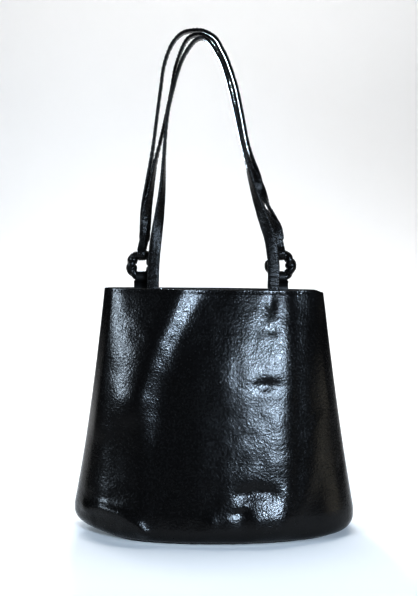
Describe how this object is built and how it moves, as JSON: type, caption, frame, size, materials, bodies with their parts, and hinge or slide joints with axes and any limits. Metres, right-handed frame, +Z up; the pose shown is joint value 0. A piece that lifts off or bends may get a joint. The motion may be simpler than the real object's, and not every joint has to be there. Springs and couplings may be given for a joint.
{
  "type": "leather shoulder bag",
  "caption": "Open-topped black leather shoulder bag with an oval base, a front handle and a doubled rear handle on twisted rings.",
  "frame": {"origin": "middle of the flat base, on the surface the bag stands on", "axes": "+Z up, -Y out of the bag's front, +X to the right when facing the front"},
  "size_m": [0.332, 0.15, 0.6012],
  "materials": {
    "black_leather": "semi-gloss, fine grain",
    "leather_edge": "satin",
    "lining_cloth": "matt twill",
    "zip_tape": "matt",
    "steel": "satin",
    "board": "matt"
  },
  "bodies": {
    "bag": {"front_panel": "black_leather", "back_panel": "black_leather", "side_seam_left": "leather_edge", "side_seam_right": "leather_edge", "base_panel": "black_leather", "base_welt": "leather_edge", "base_board": "board", "front_facing": "black_leather", "back_facing": "black_leather", "front_lining": "lining_cloth", "back_lining": "lining_cloth", "base_lining": "lining_cloth", "slip_pocket": "lining_cloth", "slip_pocket_binding": "black_leather", "pocket_pouch": "lining_cloth", "zip_tape_upper": "zip_tape", "zip_tape_lower": "zip_tape", "zip_teeth": "steel", "zip_stops": "steel", "snap_male": "steel", "snap_female": "steel", "ring_tab_left": "black_leather", "ring_tab_right": "black_leather", "front_anchor_left": "black_leather", "front_anchor_right": "black_leather"},
    "front_handle": {"front_strap": "black_leather"},
    "left_ring": {"ring_left": "black_leather"},
    "right_ring": {"ring_right": "black_leather"},
    "rear_handle": {"rear_strap_outer": "black_leather", "rear_strap_inner": "black_leather", "rear_turn_left": "black_leather", "rear_turn_right": "black_leather"},
    "slider": {"zip_slider": "steel"},
    "puller": {"zip_puller": "steel"}
  },
  "joints": [
    {"name": "front_handle_fold", "type": "hinge", "parent": "bag", "child": "front_handle", "pos_m": [0, -0.0155, 0.2906], "axis": [1, 0, 0], "range_deg": [0, 150]},
    {"name": "left_ring_swing", "type": "hinge", "parent": "bag", "child": "left_ring", "pos_m": [-0.088, 0.0092, 0.3], "axis": [-1, 0, 0], "range_deg": [0, 100]},
    {"name": "right_ring_swing", "type": "hinge", "parent": "bag", "child": "right_ring", "pos_m": [0.081, 0.0092, 0.3], "axis": [-1, 0, 0], "range_deg": [0, 100]},
    {"name": "rear_handle_fold", "type": "hinge", "parent": "left_ring", "child": "rear_handle", "pos_m": [-0.088, 0.0092, 0.3288], "axis": [-1, 0, 0], "range_deg": [0, 60]},
    {"name": "zip_run", "type": "slide", "parent": "bag", "child": "slider", "axis": [1, 0, 0], "range_m": [0, 0.088]},
    {"name": "puller_swing", "type": "hinge", "parent": "slider", "child": "puller", "pos_m": [-0.046, 0.01687, 0.2066], "axis": [-1, 0, 0], "range_deg": [-10, 100]}
  ],
  "couplings": [
    {"joint": "right_ring_swing", "follows": "left_ring_swing", "ratio": 1}
  ]
}
